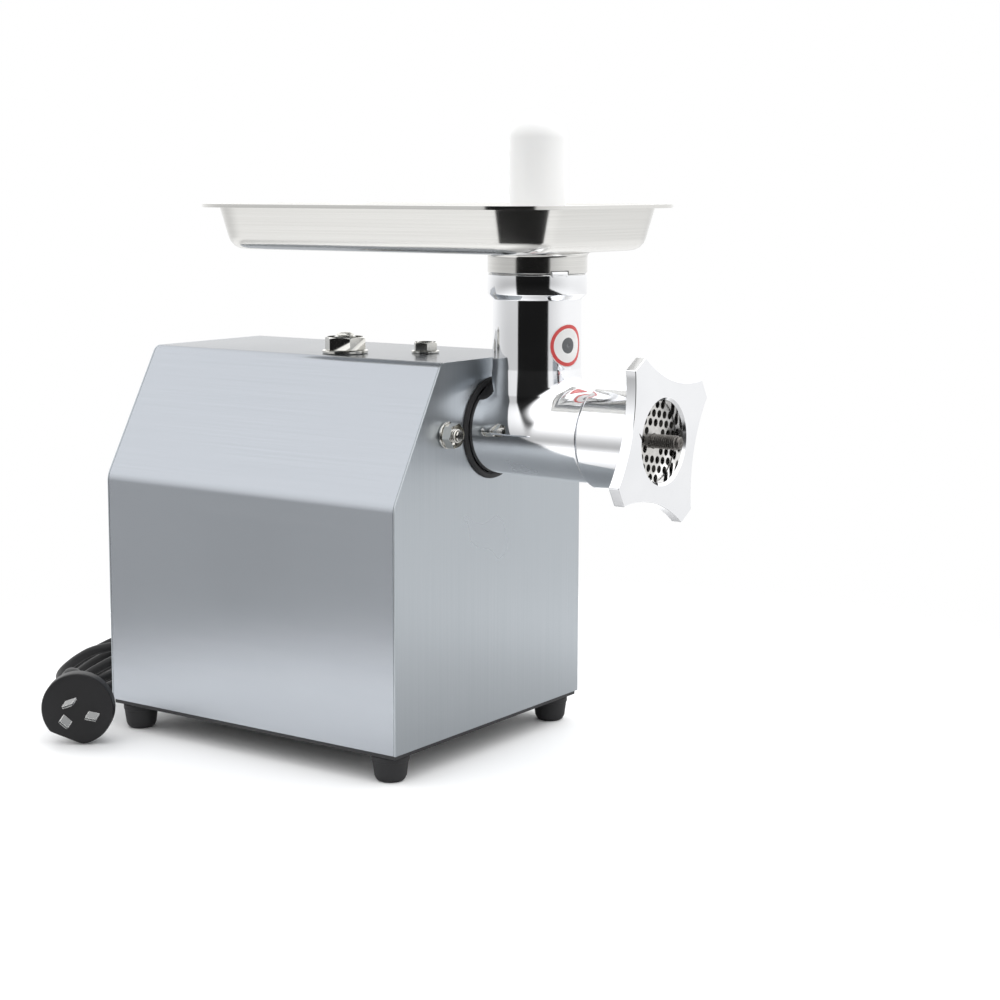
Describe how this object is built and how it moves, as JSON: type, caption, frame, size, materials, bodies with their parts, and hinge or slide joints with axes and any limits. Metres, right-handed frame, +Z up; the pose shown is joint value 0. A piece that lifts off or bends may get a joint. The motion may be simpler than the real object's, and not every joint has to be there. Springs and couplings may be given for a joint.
{
  "type": "electric meat grinder",
  "caption": "Bench-top electric meat grinder: folded steel housing with geared motor, cast grinding head, star ring nut, food tray, plunger and mains lead.",
  "frame": {"origin": "centre of the bounding box at the standing surface, measured without the mains lead and its plug", "axes": "+Z up, -Y towards the outlet and ring nut, +X to the right seen from the outlet end"},
  "size_m": [0.308, 0.5227, 0.468],
  "materials": {
    "black_paint": "satin powder coat",
    "brushed_steel": "brushed stainless sheet",
    "rubber": "matt",
    "zinc_steel": "bright zinc plate",
    "black_plastic": "fine moulded",
    "red_plastic": "gloss moulded",
    "grey_iron": "as cast, oiled",
    "tool_steel": "ground and oiled",
    "polished_casting": "polished casting",
    "white_nylon": "translucent nylon"
  },
  "bodies": {
    "housing": {"base_plate": "black_paint", "housing_cover": "brushed_steel", "front_panel": "brushed_steel", "rear_panel": "brushed_steel", "foot_front_left": "rubber", "foot_front_right": "rubber", "foot_rear_left": "rubber", "foot_rear_right": "rubber", "barrel_seal_ring": "rubber", "front_stud_left": "zinc_steel", "front_washer_left": "zinc_steel", "front_nut_left": "zinc_steel", "front_stud_right": "zinc_steel", "front_washer_right": "zinc_steel", "front_nut_right": "zinc_steel", "switch_body": "black_plastic", "reset_breaker": "black_plastic", "gearbox_body": "grey_iron", "gearbox_cover": "grey_iron", "output_bearing_front": "tool_steel", "output_bearing_rear": "tool_steel", "motor_shell": "black_paint", "stator_core": "grey_iron", "motor_bearing_front": "tool_steel", "motor_bearing_rear": "tool_steel", "motor_end_bell": "grey_iron", "motor_cradle": "black_paint", "run_capacitor": "black_plastic", "cord_gland": "rubber", "cord_to_coil": "rubber", "cord_coil": "rubber", "cord_to_plug": "rubber", "plug_body": "rubber", "plug_pin_active": "zinc_steel", "plug_pin_neutral": "zinc_steel", "plug_pin_earth": "zinc_steel"},
    "rotor": {"rotor_core": "grey_iron", "motor_shaft": "tool_steel", "cooling_fan": "black_plastic"},
    "idler": {"intermediate_shaft": "tool_steel", "intermediate_gear": "tool_steel"},
    "output": {"output_shaft": "tool_steel", "output_gear": "tool_steel"},
    "head": {"head_barrel": "polished_casting", "plate_key_pin": "tool_steel"},
    "auger": {"auger": "polished_casting", "auger_thrust_washer": "tool_steel", "auger_spindle": "tool_steel", "cross_knife": "tool_steel"},
    "plate": {"cutting_plate": "tool_steel"},
    "ring": {"ring_nut": "polished_casting"},
    "tray": {"tray": "brushed_steel", "tray_neck": "brushed_steel"},
    "plunger": {"plunger": "white_nylon"},
    "lock_washer": {"lock_bolt_washer": "zinc_steel"},
    "lock_bolt": {"head_lock_bolt": "zinc_steel"},
    "oil_washer": {"oil_plug_washer": "zinc_steel"},
    "oil_plug": {"oil_filler_plug": "zinc_steel"},
    "rocker": {"switch_rocker": "red_plastic"},
    "reset": {"reset_button": "red_plastic"}
  },
  "joints": [
    {"name": "rotor_spin", "type": "hinge", "parent": "housing", "child": "rotor", "pos_m": [0, 0.13, 0.138], "axis": [0, 1, 0], "continuous": true},
    {"name": "idler_spin", "type": "hinge", "parent": "housing", "child": "idler", "pos_m": [0, 0.05, 0.189], "axis": [0, 1, 0], "continuous": true},
    {"name": "output_spin", "type": "hinge", "parent": "housing", "child": "output", "pos_m": [0, 0.04, 0.241], "axis": [0, 1, 0], "continuous": true},
    {"name": "head_slide", "type": "slide", "parent": "housing", "child": "head", "axis": [0, -1, 0], "range_m": [0, 0.075]},
    {"name": "auger_spin", "type": "hinge", "parent": "head", "child": "auger", "pos_m": [0, -0.09, 0.241], "axis": [0, 1, 0], "continuous": true},
    {"name": "plate_slide", "type": "slide", "parent": "head", "child": "plate", "axis": [0, -1, 0], "range_m": [0, 0.009]},
    {"name": "ring_nut_turn", "type": "hinge", "parent": "plate", "child": "ring", "pos_m": [0, -0.199, 0.241], "axis": [0, -1, 0], "range_deg": [0, 1080]},
    {"name": "tray_lift", "type": "slide", "parent": "head", "child": "tray", "axis": [0, 0, 1], "range_m": [0, 0.1]},
    {"name": "plunger_lift", "type": "slide", "parent": "head", "child": "plunger", "axis": [0, 0, 1], "range_m": [0, 0.18]},
    {"name": "lock_washer_lift", "type": "slide", "parent": "housing", "child": "lock_washer", "axis": [0, 0, 1], "range_m": [0, 0.006]},
    {"name": "lock_bolt_turn", "type": "hinge", "parent": "lock_washer", "child": "lock_bolt", "pos_m": [0, 0.001, 0.3], "axis": [0, 0, 1], "range_deg": [0, 1440]},
    {"name": "oil_washer_lift", "type": "slide", "parent": "housing", "child": "oil_washer", "axis": [0, 0, 1], "range_m": [0, 0.006]},
    {"name": "oil_plug_turn", "type": "hinge", "parent": "oil_washer", "child": "oil_plug", "pos_m": [-0.036, 0.048, 0.3], "axis": [0, 0, 1], "range_deg": [0, 1440]},
    {"name": "switch_rock", "type": "hinge", "parent": "housing", "child": "rocker", "pos_m": [0.091, 0.02, 0.24505], "axis": [0, 1, 0], "range_deg": [0, 20]},
    {"name": "reset_press", "type": "slide", "parent": "housing", "child": "reset", "axis": [-0.8679, 0, -0.4967], "range_m": [0, 0.002], "stiffness_N_per_m": 400}
  ],
  "couplings": [
    {"joint": "idler_spin", "follows": "rotor_spin", "ratio": -0.30769},
    {"joint": "output_spin", "follows": "rotor_spin", "ratio": 0.13675},
    {"joint": "auger_spin", "follows": "rotor_spin", "ratio": 0.13675},
    {"joint": "plate_slide", "follows": "ring_nut_turn", "m_per_rad": 0.00047746},
    {"joint": "lock_bolt_turn", "follows": "lock_washer_lift", "rad_per_m": 4188.8},
    {"joint": "oil_plug_turn", "follows": "oil_washer_lift", "rad_per_m": 4188.8}
  ]
}
